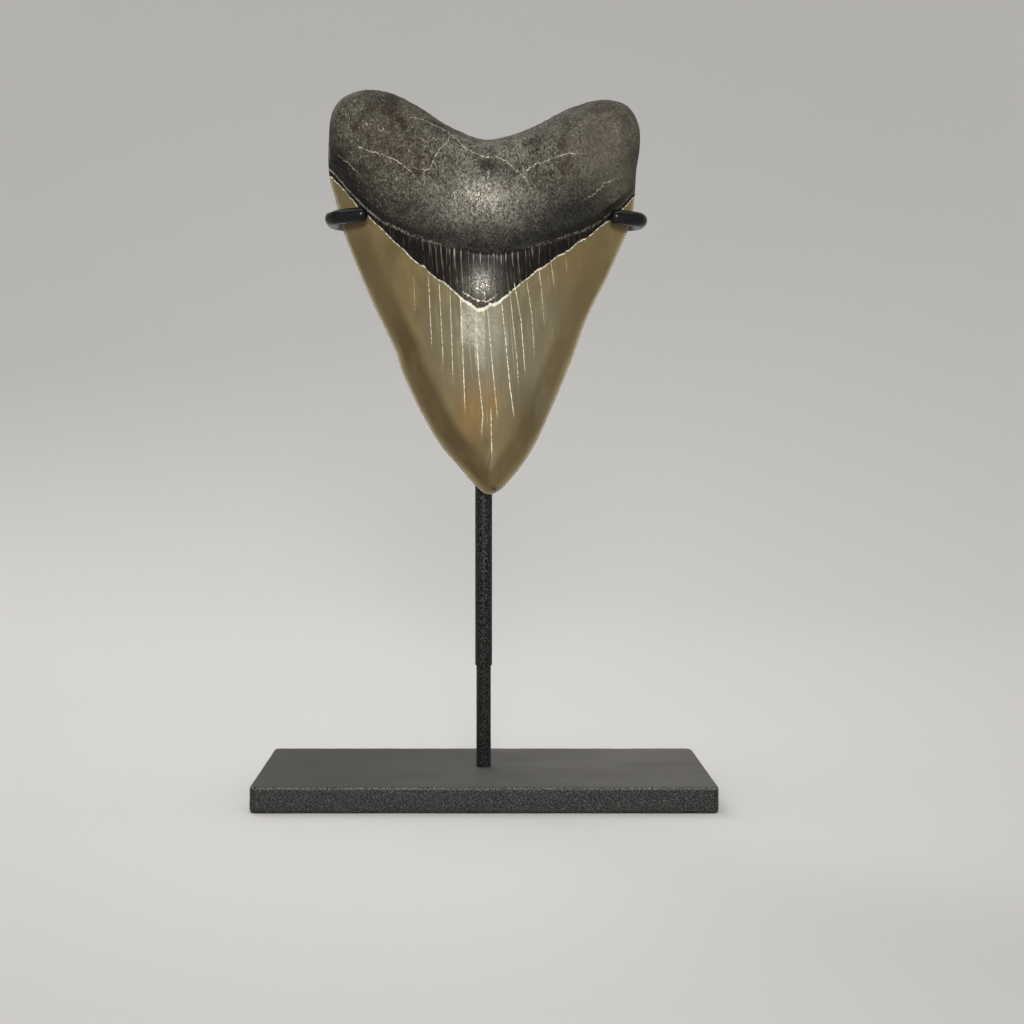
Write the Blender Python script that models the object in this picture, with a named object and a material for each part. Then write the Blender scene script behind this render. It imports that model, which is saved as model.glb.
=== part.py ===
"""A megalodon tooth hung point down in a steel display stand.

The tooth is one solid: a front sheet (the tongue side, strongly domed) and a back sheet
(the lip side, nearly flat) that meet along one rim.  The stand is a flat steel plate, a
slender post in two lengths and a bent wire cradle whose two ends are sheathed in tubing
and hook round the shoulders of the tooth.

Frame: origin at the centre of the plate's underside, +X to the right, +Y to the back,
+Z up.  Lengths are written in millimetres and scaled to metres when a mesh is made.
"""

import math

import bmesh
import bpy
import numpy as np
from mathutils import Matrix, Vector

MM = 0.001
CLEARANCE = 0.3  # left between pieces that touch or pass through each other
OVERCUT = 2.0  # how far a cutter runs past the face it opens

# Plate
PLATE_WIDTH = 152.4
PLATE_DEPTH = 76.2
PLATE_THICKNESS = 8.8
PLATE_EDGE_RADIUS = 1.1
PLATE_EDGE_SEGMENTS = 3
SOCKET_DEPTH = 5.0  # blind hole that the post stands in

# Post
ROD_RADIUS = 2.5
SLEEVE_RADIUS = 2.92
SPIGOT_RADIUS = 2.0  # turned end of the rod that the upper tube slips over
SPIGOT_LENGTH = 16.0
BORE_ALLOWANCE = 1.0  # air left above the spigot
SLEEVE_FOOT_Z = 43.8
CRADLE_Z = 194.5  # height of the cross wire

# Cradle
WIRE_RADIUS = 1.6
SHEATH_RADIUS = 2.45
LEFT_ARM_X = -50.6
RIGHT_ARM_X = 52.2
REAR_BEND = 6.5
HOOK_BEND = 4.2
LEFT_ELBOW = (LEFT_ARM_X, -15.8, 194.8)
LEFT_TIP = (-40.7, -18.0, 195.5)
RIGHT_ELBOW = (RIGHT_ARM_X, -14.6, 194.2)
RIGHT_TIP = (44.0, -16.6, 194.9)
SHEATH_START = 36.0  # distance from the middle at which the sheaths begin
SHEATH_CAP_ANGLES = (72, 48, 24)  # rings of a sheath's round end, degrees from its axis
BEND_STEPS = 6  # straight runs in each bend of the wire

# Tooth outline, seen from the front: closed, point 0 at the left shoulder, clockwise
LEFT_SHOULDER = (-49.3, 200.0)
LEFT_SIDE = [LEFT_SHOULDER, (-51.5, 207.0), (-52.2, 213.0), (-51.9, 221.0), (-51.3, 228.0)]
LEFT_CORNER = (-49.6, 232.4)
ROOT_TOP = [(-46.0, 235.8), (-39.0, 237.8), (-30.5, 236.5), (-21.0, 231.7), (-12.0, 225.8),
            (-1.0, 221.3), (8.0, 222.3), (17.5, 225.9), (27.0, 230.9), (37.5, 234.3),
            (45.0, 233.8)]
RIGHT_CORNER = (49.2, 231.1)
RIGHT_SIDE = [(51.9, 225.5), (52.2, 218.5), (51.2, 211.0), (50.9, 203.0)]
RIGHT_SHOULDER = (49.9, 196.0)
RIGHT_EDGE = [RIGHT_SHOULDER, (47.6, 189.5), (41.6, 176.1), (35.0, 162.7), (29.0, 146.5),
              (22.2, 130.3), (15.6, 116.7), (8.2, 106.8), (4.2, 103.3)]
TIP = (1.6, 102.6)
LEFT_EDGE = [(-1.4, 104.2), (-7.7, 111.3), (-14.6, 119.4), (-21.0, 130.3), (-27.4, 143.8),
             (-30.1, 151.9), (-37.8, 168.0), (-44.6, 184.2), (-47.6, 192.5)]

# Lines across the faces, left to right, as (x, z)
ENAMEL_FRONT = [(-52.0, 210.6), (-46.3, 204.0), (-40.0, 196.8), (-28.0, 185.1), (-20.0, 178.2),
                (-13.0, 172.7), (-5.5, 165.9), (-0.6, 163.4), (5.0, 166.6), (16.4, 176.1),
                (31.4, 186.6), (42.1, 194.1), (51.0, 203.4)]
ENAMEL_BACK = [(-52.0, 210.6), (-44.0, 204.5), (-24.0, 194.0), (0.0, 189.5), (24.0, 193.0),
               (42.0, 199.0), (51.0, 203.4)]
ROOT_FRONT = [(-52.0, 212.0), (-46.0, 205.6), (-40.0, 198.9), (-33.0, 192.8), (-18.0, 186.0),
              (-4.0, 182.9), (7.5, 182.5), (20.8, 186.0), (36.0, 191.6), (46.0, 199.4),
              (51.0, 205.0)]
BACK_LEDGE = 1.4  # height of the sloping step above the enamel on the back

# Thickness of the tooth
EDGE_Y = -6.3  # plane of the cutting edges
ROOT_RIM_Y = -9.7  # plane of the root's rounded rim
RIM_LEAN = (203.0, 226.0)  # heights between which the rim passes from one plane to the other
CROWN_DOME = 0.40  # front dome of the crown, as a share of its half width
CROWN_BACK = 0.05  # the same for its back
CROWN_PEAK = 0.28  # 0 is a parabola across, 1 is its square
EDGE_SHARE = 0.15  # low relief fades out over this outer share of a half width
ROOT_BODY = 10.5
ROOT_BULGE = 13.5
BULGE_CENTRE = (0.4, 201.0)
BULGE_REACH = 28.0  # sideways and down
BULGE_RISE = 24.0  # upwards
LOBE_SWELL = 1.6
LEFT_LOBE = (-34.0, 221.0)
RIGHT_LOBE = (36.0, 218.0)
LOBE_REACH = (13.0, 11.0)
COLLAR_SWELL = 2.1  # low swelling of the dark band above the enamel
COLLAR_CENTRE = (-0.6, 167.5)
COLLAR_REACH = (9.0, 7.0)
ENAMEL_STEP = 0.45  # the enamel stands proud of what is above it
ENAMEL_SLOPE = 0.3  # half height of that step
LIP_HEIGHT = 2.8  # the root's lower margin rolls out over this height
MIDDLE_LIP = 7.0  # and over this much more at the middle
MIDDLE_LIP_REACH = 15.0
CREASE_DEPTH = 0.2  # groove under that margin
CREASE_DROP = 0.5
CREASE_REACH = 0.8
BACK_ROOT = 2.9  # the root behind its rim plane, low down
BACK_ROOT_RISE = 3.3  # added towards its top
FRONT_ROUND = 9.0
BACK_ROUND = 6.5

# Mesh
COLUMNS = 50
ROOT_ROWS = 14
COLLAR_ROWS = 8
CROWN_ROWS = 14
TOOTH_SMOOTH = 60  # degrees
WIRE_SMOOTH = 50
TURNED_SMOOTH = 35
SPLINE_STEPS = 16
WALK_STEPS = 241  # samples down a column while it is walked
ROW_CROWD = 0.65  # 0 spaces rows and columns evenly, 1 crowds them at both ends
TIP_CROWD = 0.6  # the same for the columns near the tip
TURNED_SIDES = 32
WIRE_SIDES = 10


# ---------------------------------------------------------------- shared helpers

def clear_scene():
    for item in list(bpy.data.objects):
        bpy.data.objects.remove(item, do_unlink=True)


def material(name, colour, roughness, metallic=0.0):
    mat = bpy.data.materials.new(name)
    mat.use_nodes = True
    shader = mat.node_tree.nodes["Principled BSDF"]
    shader.inputs["Base Color"].default_value = (*colour, 1.0)
    shader.inputs["Roughness"].default_value = roughness
    shader.inputs["Metallic"].default_value = metallic
    return mat


def add_object(name, vertices, faces, mat, smooth_angle=None):
    """One named object from points in millimetres."""
    mesh = bpy.data.meshes.new(name)
    mesh.from_pydata([tuple(float(c) * MM for c in v) for v in vertices], [], faces)
    mesh.validate()
    mesh.materials.append(mat)
    if smooth_angle is not None:
        mesh.shade_smooth()
        mesh.set_sharp_from_angle(angle=math.radians(smooth_angle))
    item = bpy.data.objects.new(name, mesh)
    bpy.context.collection.objects.link(item)
    return item


def cut(item, cutter):
    """Subtracts the cutter from the item and hides the cutter."""
    cutter.hide_render = True
    cutter.display_type = "WIRE"
    boolean = item.modifiers.new("cut_" + cutter.name, "BOOLEAN")
    boolean.operation = "DIFFERENCE"
    boolean.object = cutter


def tube_rings(path, radii, sides):
    """Rings of points carried along a path without twist, one radius for each point."""
    path = [Vector(p) for p in path]
    tangents = [(path[min(i + 1, len(path) - 1)] - path[max(i - 1, 0)]).normalized()
                for i in range(len(path))]
    side = tangents[0].orthogonal().normalized()
    rings = []
    for point, tangent, radius in zip(path, tangents, radii):
        side = (side - tangent * side.dot(tangent)).normalized()
        other = tangent.cross(side)
        rings.append([point + (side * math.cos(a) + other * math.sin(a)) * radius
                      for a in (2 * math.pi * k / sides for k in range(sides))])
    return rings


def skin(rings, first_pole=None, last_pole=None):
    """Faces round a list of rings; each end is closed by a pole or by one flat face."""
    sides = len(rings[0])
    vertices = [p for ring in rings for p in ring]
    faces = []
    for r in range(len(rings) - 1):
        for k in range(sides):
            a, b = r * sides + k, r * sides + (k + 1) % sides
            faces.append((a, b, b + sides, a + sides))
    last = (len(rings) - 1) * sides
    if first_pole is None:
        faces.append(tuple(reversed(range(sides))))
    else:
        vertices.append(first_pole)
        faces += [(len(vertices) - 1, (k + 1) % sides, k) for k in range(sides)]
    if last_pole is None:
        faces.append(tuple(range(last, last + sides)))
    else:
        vertices.append(last_pole)
        faces += [(len(vertices) - 1, last + k, last + (k + 1) % sides) for k in range(sides)]
    return vertices, faces


def turned(name, profile, mat):
    """A solid of revolution about Z from (radius, z) points, bottom to top."""
    rings = [[(r * math.cos(a), r * math.sin(a), z)
              for a in (2 * math.pi * k / TURNED_SIDES for k in range(TURNED_SIDES))]
             for r, z in profile]
    vertices, faces = skin(rings)
    return add_object(name, vertices, faces, mat, smooth_angle=TURNED_SMOOTH)


def rounded_route(corners, radii):
    """A polyline whose inner corners are replaced by arcs of the given radii."""
    corners = [Vector(c) for c in corners]
    route = [corners[0]]
    for before, corner, after, radius in zip(corners, corners[1:], corners[2:], radii):
        back, ahead = (before - corner).normalized(), (after - corner).normalized()
        half = back.angle(ahead) / 2
        reach = radius / math.tan(half)
        centre = corner + (back + ahead).normalized() * (radius / math.sin(half))
        start, end = corner + back * reach - centre, corner + ahead * reach - centre
        axis, sweep = start.cross(end).normalized(), start.angle(end)
        route += [centre + Matrix.Rotation(sweep * k / BEND_STEPS, 3, axis) @ start
                  for k in range(BEND_STEPS + 1)]
    return route + [corners[-1]]


# ---------------------------------------------------------------- tooth

def closed_spline(points):
    """Catmull-Rom curve through a closed list of points, SPLINE_STEPS samples a stretch."""
    p = np.array(points)
    before, here, after, beyond = np.roll(p, 1, 0), p, np.roll(p, -1, 0), np.roll(p, -2, 0)
    t = np.linspace(0, 1, SPLINE_STEPS, endpoint=False)[None, :, None]
    a, b, c, d = (q[:, None, :] for q in (before, here, after, beyond))
    curve = 0.5 * (2 * b + (c - a) * t + (2 * a - 5 * b + 4 * c - d) * t ** 2
                   + (3 * b - a - 3 * c + d) * t ** 3)
    return curve.reshape(-1, 2)


OUTLINE = (LEFT_SIDE + [LEFT_CORNER] + ROOT_TOP + [RIGHT_CORNER] + RIGHT_SIDE
           + RIGHT_EDGE + [TIP] + LEFT_EDGE)
RIM = closed_spline(OUTLINE)


def stretch(start, end, shares):
    """Rim points between two outline points, at the given shares of the arc length."""
    first, last = OUTLINE.index(start) * SPLINE_STEPS, OUTLINE.index(end) * SPLINE_STEPS
    if last <= first:
        last += len(RIM)
    line = RIM[np.arange(first, last + 1) % len(RIM)]
    length = np.r_[0, np.cumsum(np.hypot(*np.diff(line, axis=0).T))]
    return np.c_[np.interp(shares * length[-1], length, line[:, 0]),
                 np.interp(shares * length[-1], length, line[:, 1])]


def ease(count):
    """Shares from 0 to 1, closer together near both ends."""
    t = np.linspace(0, 1, count)
    return (1 - ROW_CROWD) * t + ROW_CROWD * (0.5 - 0.5 * np.cos(math.pi * t))


def step(low, high, value):
    """0 below low, 1 above high and a smooth rise between them."""
    t = np.clip((value - low) / (high - low), 0, 1)
    return t * t * (3 - 2 * t)


def hump(x, z, centre, reach):
    """A bell of height 1 about a centre, as wide and as high as its reach."""
    return np.exp(-((x - centre[0]) / reach[0]) ** 2 - ((z - centre[1]) / reach[1]) ** 2)


def line_height(line, x):
    xs, zs = np.array(line).T
    return np.interp(x, xs, zs)


def crown_section(x, z):
    """Half width of the tooth at height z, and 0 on its edges to 1 on its middle line."""
    left_top, right_top, tip = (OUTLINE.index(point) * SPLINE_STEPS
                                for point in (LEFT_CORNER, RIGHT_CORNER, TIP))
    right = RIM[right_top:tip + 1]
    left = np.vstack([RIM[tip:], RIM[:left_top + 1]])
    right_x = np.interp(z, right[::-1, 1], right[::-1, 0])
    left_x = np.interp(z, left[:, 1], left[:, 0])
    half = np.maximum((right_x - left_x) / 2, 1e-6)
    across = np.clip((x - (right_x + left_x) / 2) / half, -1, 1)
    return half, 1 - across ** 2


def rim_distance(x, z):
    gaps = (x.ravel()[:, None] - RIM[:, 0]) ** 2 + (z.ravel()[:, None] - RIM[:, 1]) ** 2
    return np.sqrt(gaps.min(axis=1)).reshape(x.shape)


def round_over(distance, radius):
    """A quarter circle from 0 at the rim to 1 at one radius inside it."""
    t = np.clip(distance / radius, 0, 1)
    return np.sqrt(1 - (1 - t) ** 2)


def rim_plane(z):
    return EDGE_Y + (ROOT_RIM_Y - EDGE_Y) * step(*RIM_LEAN, z)


def dome(middle):
    """Cross profile of the crown, 0 at its edges and 1 at its middle line."""
    return (1 - CROWN_PEAK) * middle + CROWN_PEAK * middle ** 2


def front_depth(x, z):
    """Y of the front sheet: domed crown, swollen collar and thick two-lobed root."""
    half, middle = crown_section(x, z)
    inside = step(0, EDGE_SHARE, middle)
    above_root_line = z - line_height(ROOT_FRONT, x)
    crown = CROWN_DOME * half * dome(middle)
    crown += COLLAR_SWELL * inside * hump(x, z, COLLAR_CENTRE, COLLAR_REACH)
    crown += ENAMEL_STEP * inside * step(-ENAMEL_SLOPE, ENAMEL_SLOPE, line_height(ENAMEL_FRONT, x) - z)
    crown -= CREASE_DEPTH * inside * np.exp(-((above_root_line + CREASE_DROP) / CREASE_REACH) ** 2)
    bulge_height = np.where(z < BULGE_CENTRE[1], BULGE_REACH, BULGE_RISE)
    root = ROOT_BODY + ROOT_BULGE * hump(x, z, BULGE_CENTRE, (BULGE_REACH, bulge_height))
    root += LOBE_SWELL * (hump(x, z, LEFT_LOBE, LOBE_REACH) + hump(x, z, RIGHT_LOBE, LOBE_REACH))
    root *= round_over(rim_distance(x, z), FRONT_ROUND)
    lip = LIP_HEIGHT + MIDDLE_LIP * np.exp(-(x / MIDDLE_LIP_REACH) ** 2)
    share = step(0, 1, above_root_line / lip)
    return rim_plane(z) - (crown * (1 - share) + root * share)


def back_depth(x, z):
    """Y of the back sheet: almost flat, with the enamel a little proud of the root."""
    half, middle = crown_section(x, z)
    crown = CROWN_BACK * half * dome(middle) + ENAMEL_STEP * step(0, EDGE_SHARE, middle)
    root = (BACK_ROOT + BACK_ROOT_RISE * step(*RIM_LEAN, z)) * round_over(rim_distance(x, z), BACK_ROUND)
    share = step(0, BACK_LEDGE, z - line_height(ENAMEL_BACK, x))
    return rim_plane(z) + crown * (1 - share) + root * share


def face_grid(root_line, enamel_line):
    """(x, z) grid over the outline, rows from the root's top to the cutting edges.

    A Coons patch fills the outline from its four stretches of rim.  Each column is then
    walked again so that the root line and the enamel line each fall on one row all the
    way across.  Along the cutting edges the columns crowd towards the tip.
    """
    u = ease(COLUMNS + 1)
    v = np.linspace(0, 1, WALK_STEPS)
    top = stretch(LEFT_CORNER, RIGHT_CORNER, u)
    half = np.linspace(0, 1, COLUMNS // 2 + 1)
    crowded = half - TIP_CROWD * np.sin(2 * math.pi * half) / (2 * math.pi)
    left_half = stretch(TIP, LEFT_SHOULDER, 1 - crowded)
    right_half = stretch(RIGHT_SHOULDER, TIP, 1 - crowded)
    bottom = np.vstack([left_half, right_half[1:]])
    left = stretch(LEFT_SHOULDER, LEFT_CORNER, v)[::-1]
    right = stretch(RIGHT_CORNER, RIGHT_SHOULDER, v)
    uu, vv = u[None, :, None], v[:, None, None]
    patch = ((1 - vv) * top[None] + vv * bottom[None]
             + (1 - uu) * left[:, None] + uu * right[:, None]
             - (1 - uu) * (1 - vv) * top[0] - uu * (1 - vv) * top[-1]
             - (1 - uu) * vv * bottom[0] - uu * vv * bottom[-1])
    rows = np.r_[ease(ROOT_ROWS + 1), 1 + ease(COLLAR_ROWS + 1)[1:], 2 + ease(CROWN_ROWS + 1)[1:]]
    grid = np.empty((len(rows), COLUMNS + 1, 2))
    for column in range(COLUMNS + 1):
        x, z = patch[:, column].T
        root_meet = np.interp(0.0, line_height(root_line, x) - z, v)
        enamel_meet = np.interp(0.0, line_height(enamel_line, x) - z, v)
        walk = np.interp(rows, [0, 1, 2, 3], [0, root_meet, enamel_meet, 1])
        grid[:, column, 0] = np.interp(walk, v, x)
        grid[:, column, 1] = np.interp(walk, v, z)
    return grid


def make_tooth(mat):
    back_ledge = [(x, z + BACK_LEDGE) for x, z in ENAMEL_BACK]
    front, back = face_grid(ROOT_FRONT, ENAMEL_FRONT), face_grid(back_ledge, ENAMEL_BACK)
    rows, columns = front.shape[:2]
    on_rim = np.zeros((rows, columns), bool)
    on_rim[[0, -1], :] = True
    on_rim[:, [0, -1]] = True
    front_y = front_depth(front[..., 0], front[..., 1])
    front_y[on_rim] = rim_plane(front[..., 1])[on_rim]
    back_y = back_depth(back[..., 0], back[..., 1])
    front_number = np.arange(rows * columns).reshape(rows, columns)
    back_number = front_number.copy()
    back_number[~on_rim] = rows * columns + np.arange((~on_rim).sum())
    vertices = np.vstack([
        np.c_[front[..., 0].ravel(), front_y.ravel(), front[..., 1].ravel()],
        np.c_[back[..., 0][~on_rim], back_y[~on_rim], back[..., 1][~on_rim]],
    ])
    faces = []
    for number, flip in ((front_number, False), (back_number, True)):
        a, b = number[:-1, :-1].ravel(), number[:-1, 1:].ravel()
        c, d = number[1:, 1:].ravel(), number[1:, :-1].ravel()
        corners = (a, b, c, d) if flip else (a, d, c, b)
        faces += [tuple(int(n) for n in quad) for quad in zip(*corners)]
    return add_object("tooth", vertices, faces, mat, smooth_angle=TOOTH_SMOOTH)


# ---------------------------------------------------------------- stand

def make_plate(mat):
    shape = bmesh.new()
    bmesh.ops.create_cube(shape, size=1.0)
    bmesh.ops.scale(shape, vec=(PLATE_WIDTH * MM, PLATE_DEPTH * MM, PLATE_THICKNESS * MM), verts=shape.verts)
    bmesh.ops.translate(shape, vec=(0, 0, PLATE_THICKNESS * MM / 2), verts=shape.verts)
    bmesh.ops.bevel(shape, geom=shape.edges[:], offset=PLATE_EDGE_RADIUS * MM,
                    segments=PLATE_EDGE_SEGMENTS, profile=0.5, affect="EDGES")
    mesh = bpy.data.meshes.new("base_plate")
    shape.to_mesh(mesh)
    shape.free()
    mesh.materials.append(mat)
    plate = bpy.data.objects.new("base_plate", mesh)
    bpy.context.collection.objects.link(plate)
    radius = ROD_RADIUS + CLEARANCE
    floor = PLATE_THICKNESS - SOCKET_DEPTH
    socket = turned("socket_cutter", [(radius, floor), (radius, PLATE_THICKNESS + OVERCUT)], mat)
    cut(plate, socket)
    return plate


def make_post(mat):
    shoulder = SLEEVE_FOOT_Z - CLEARANCE
    foot = PLATE_THICKNESS - SOCKET_DEPTH + CLEARANCE
    turned("post_rod", [(ROD_RADIUS, foot), (ROD_RADIUS, shoulder),
                        (SPIGOT_RADIUS, shoulder), (SPIGOT_RADIUS, shoulder + SPIGOT_LENGTH)], mat)
    bore_top = shoulder + SPIGOT_LENGTH + BORE_ALLOWANCE
    sleeve = turned("post_sleeve", [(SLEEVE_RADIUS, SLEEVE_FOOT_Z), (SLEEVE_RADIUS, CRADLE_Z)], mat)
    bore = turned("bore_cutter", [(SPIGOT_RADIUS + CLEARANCE, SLEEVE_FOOT_Z - OVERCUT),
                                  (SPIGOT_RADIUS + CLEARANCE, bore_top)], mat)
    reach = SLEEVE_RADIUS + OVERCUT
    saddle = turned("saddle_cutter", [(WIRE_RADIUS + CLEARANCE, -reach), (WIRE_RADIUS + CLEARANCE, reach)], mat)
    saddle.rotation_euler = (0, math.pi / 2, 0)
    saddle.location = (0, 0, CRADLE_Z * MM)
    cut(sleeve, bore)
    cut(sleeve, saddle)


def arm_route(tip, elbow):
    """Centre line of one arm: hook tip, elbow, rear bend and half of the cross wire."""
    rear = (elbow[0], 0.0, CRADLE_Z)
    return rounded_route([tip, elbow, rear, (0.0, 0.0, CRADLE_Z)], [HOOK_BEND, REAR_BEND])


def make_cradle(mat):
    """One wire bent from hook to hook, and a sheath with a round closed end over each arm."""
    left, right = arm_route(LEFT_TIP, LEFT_ELBOW), arm_route(RIGHT_TIP, RIGHT_ELBOW)
    route = left[:-1] + right[::-1][1:]
    vertices, faces = skin(tube_rings(route, [WIRE_RADIUS] * len(route), WIRE_SIDES))
    add_object("cradle_wire", vertices, faces, mat, smooth_angle=WIRE_SMOOTH)


def make_sheath(name, tip, elbow, mat):
    """A tube over an arm: rings run up the bore from the closed end, round the rim and back outside."""
    route = arm_route(tip, elbow)
    route[-1] = Vector((math.copysign(SHEATH_START, elbow[0]), 0.0, CRADLE_Z))
    outward = (route[0] - route[1]).normalized()
    bore = [route[0] + outward * CLEARANCE] + route[1:]
    cap = [(route[0] + outward * SHEATH_RADIUS * math.sin(a), SHEATH_RADIUS * math.cos(a))
           for a in (math.radians(d) for d in SHEATH_CAP_ANGLES)]
    outside = cap + [(point, SHEATH_RADIUS) for point in route]
    inner = tube_rings(bore, [WIRE_RADIUS + CLEARANCE] * len(bore), WIRE_SIDES)
    outer = tube_rings([p for p, _ in outside], [r for _, r in outside], WIRE_SIDES)
    rings = inner + outer[::-1]
    vertices, faces = skin(rings, first_pole=bore[0], last_pole=route[0] + outward * SHEATH_RADIUS)
    item = add_object(name, vertices, faces, mat, smooth_angle=WIRE_SMOOTH)
    turn_outward(item)
    return item


def turn_outward(item):
    shape = bmesh.new()
    shape.from_mesh(item.data)
    bmesh.ops.recalc_face_normals(shape, faces=shape.faces)
    if shape.calc_volume(signed=True) < 0:
        bmesh.ops.reverse_faces(shape, faces=shape.faces)
    shape.to_mesh(item.data)
    shape.free()


def main():
    clear_scene()
    black_paint = material("black_textured_paint", (0.028, 0.028, 0.027), 0.55)
    black_tubing = material("black_tubing", (0.012, 0.013, 0.013), 0.35)
    tooth_stone = material("fossil_tooth", (0.16, 0.14, 0.09), 0.38)
    make_plate(black_paint)
    make_post(black_paint)
    make_cradle(black_paint)
    make_sheath("left_hook_sheath", LEFT_TIP, LEFT_ELBOW, black_tubing)
    make_sheath("right_hook_sheath", RIGHT_TIP, RIGHT_ELBOW, black_tubing)
    make_tooth(tooth_stone)


main()
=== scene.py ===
import math

import bpy
import numpy as np
from mathutils import Matrix, Vector


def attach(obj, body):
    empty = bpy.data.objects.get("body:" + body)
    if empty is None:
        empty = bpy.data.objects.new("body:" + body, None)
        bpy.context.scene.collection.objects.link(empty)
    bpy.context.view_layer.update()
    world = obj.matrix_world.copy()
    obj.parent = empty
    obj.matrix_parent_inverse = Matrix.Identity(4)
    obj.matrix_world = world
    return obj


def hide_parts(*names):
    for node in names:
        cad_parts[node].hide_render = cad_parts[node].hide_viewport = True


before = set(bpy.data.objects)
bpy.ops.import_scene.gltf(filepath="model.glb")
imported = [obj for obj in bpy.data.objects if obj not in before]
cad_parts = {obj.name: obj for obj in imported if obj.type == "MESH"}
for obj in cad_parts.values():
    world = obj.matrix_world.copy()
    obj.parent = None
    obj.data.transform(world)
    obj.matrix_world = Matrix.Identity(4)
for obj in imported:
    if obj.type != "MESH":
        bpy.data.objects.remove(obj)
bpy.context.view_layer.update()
mm = 0.001
print("frame loaded:", ", ".join(sorted(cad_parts)))


# small sums shared by the shapes, all on whole arrays

def smoothStep(low, high, value):
    # 0 below low, 1 above high, 3t^2 - 2t^3 between them
    t = np.clip((value - low) / (high - low), 0, 1)
    return t * t * (3 - 2 * t)


def hump(x, z, centre, halfX, halfZ, height=1.0):
    # bell height * exp(-(dx/halfX)^2 - (dz/halfZ)^2)
    return height * np.exp(-((x - centre[0]) / halfX) ** 2 - ((z - centre[1]) / halfZ) ** 2)


def ridge(value, middle, half, height):
    # bell height * exp(-((value - middle)/half)^2) across a line
    return height * np.exp(-((value - middle) / half) ** 2)


def unit(vectors):
    return vectors / np.linalg.norm(vectors, axis=-1, keepdims=True)


def runningLength(points):
    # length along a line of points, up to each of them
    return np.r_[0, np.cumsum(np.linalg.norm(np.diff(points, axis=0), axis=1))]


def pointsAt(points, length, distances):
    # points at distances along a line, straight between its own
    return np.stack([np.interp(distances, length, axis) for axis in points.T], axis=-1)


def ease(count, crowd=0.65):
    # shares 0 to 1, closer together at both ends by the crowd share of a half cosine
    t = np.linspace(0, 1, count)
    return (1 - crowd) * t + crowd * (0.5 - 0.5 * np.cos(math.pi * t))


latticeValues = 4096
latticePrimes = (73856093, 19349663, 83492791)  # scatter the lattice's cells over those values


def latticeNoise(x, y, z, size, seed):
    # random values on a cubic lattice of that size in mm, blended by smooth steps; 0 to 1
    table = np.random.default_rng(seed).random(latticeValues)
    place = [np.asarray(v, float) / size for v in (x, y, z)]
    cell = [np.floor(p).astype(np.int64) for p in place]
    part = [smoothStep(0, 1, p - c) for p, c in zip(place, cell)]
    total = 0.0
    for corner in np.ndindex(2, 2, 2):
        hashed, weight = 0, 1.0
        for k in range(3):
            hashed = hashed ^ ((cell[k] + corner[k]) * latticePrimes[k])
            weight = weight * (part[k] if corner[k] else 1 - part[k])
        total = total + weight * table[hashed & (latticeValues - 1)]
    return total


def layeredNoise(x, y, z, size, seed, layers=3):
    # sum of lattice noises, each half the size and half the height of the last; about -1 to 1
    total, height = 0.0, 1.0
    for layer in range(layers):
        total = total + height * (2 * latticeNoise(x, y, z, size / 2 ** layer, seed + layer) - 1)
        height *= 0.5
    return total


def putMesh(name, points, faces, smoothAngle=40, attributes=None):
    # one mesh object at the origin from points in mm
    points = np.asarray(points, float) * mm
    mesh = bpy.data.meshes.new(name)
    mesh.from_pydata(points.tolist(), [], faces)
    mesh.update()
    for key, values in (attributes or {}).items():
        values = np.asarray(values, np.float32)
        kind, slotName = ("FLOAT", "value") if values.ndim == 1 else ("FLOAT_VECTOR", "vector")
        layer = mesh.attributes.new(key, kind, "POINT")
        layer.data.foreach_set(slotName, values.ravel())
    mesh.shade_smooth()
    mesh.set_sharp_from_angle(angle=math.radians(smoothAngle))
    item = bpy.data.objects.new(name, mesh)
    bpy.context.collection.objects.link(item)
    return item


def gridFaces(number, flip=False):
    # quads over a grid of vertex numbers, row by row
    a, b = number[:-1, :-1].ravel(), number[:-1, 1:].ravel()
    c, d = number[1:, 1:].ravel(), number[1:, :-1].ravel()
    quads = np.stack((a, b, c, d) if flip else (a, d, c, b), axis=1)
    return quads.tolist()


def ringNumbers(rings, sides):
    # vertex numbers of closed rings, the first column again at the end
    number = np.arange(rings * sides).reshape(rings, sides)
    return np.c_[number, number[:, :1]]


def turnedRings(profile, sides):
    # a profile of (radius, height) turned about the upright axis
    angle = np.linspace(0, 2 * math.pi, sides, endpoint=False)
    return np.stack([profile[:, :1] * np.cos(angle), profile[:, :1] * np.sin(angle),
                     np.repeat(profile[:, 1:], sides, axis=1)], axis=-1)


# materials: Python sums on sockets become Math nodes

class Wire:
    # a node's output; each sum on it adds a Math node
    def __init__(self, board, socket):
        self.board, self.socket = board, socket

    def maths(self, operation, *others, flip=False):
        values = [self, *others]
        if flip:
            values = values[::-1]
        return self.board.node("ShaderNodeMath", {"operation": operation}, dict(enumerate(values)))

    def __add__(self, other): return self.maths("ADD", other)
    def __radd__(self, other): return self.maths("ADD", other)
    def __sub__(self, other): return self.maths("SUBTRACT", other)
    def __rsub__(self, other): return self.maths("SUBTRACT", other, flip=True)
    def __mul__(self, other): return self.maths("MULTIPLY", other)
    def __rmul__(self, other): return self.maths("MULTIPLY", other)
    def __truediv__(self, other): return self.maths("DIVIDE", other)
    def __neg__(self): return self.maths("MULTIPLY", -1.0)
    def __abs__(self): return self.maths("ABSOLUTE")
    def least(self, other): return self.maths("MINIMUM", other)
    def most(self, other): return self.maths("MAXIMUM", other)
    def exp(self): return self.maths("EXPONENT")
    def fraction(self): return self.maths("FRACT")

    def rise(self, low, high, start=0.0, end=1.0):
        # smooth step from start at low to end at high; low may be above high
        if low > high:
            low, high, start, end = high, low, end, start
        return self.board.node(
            "ShaderNodeMapRange", {"interpolation_type": "SMOOTHSTEP"},
            {"Value": self, "From Min": low, "From Max": high, "To Min": start, "To Max": end})


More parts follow.
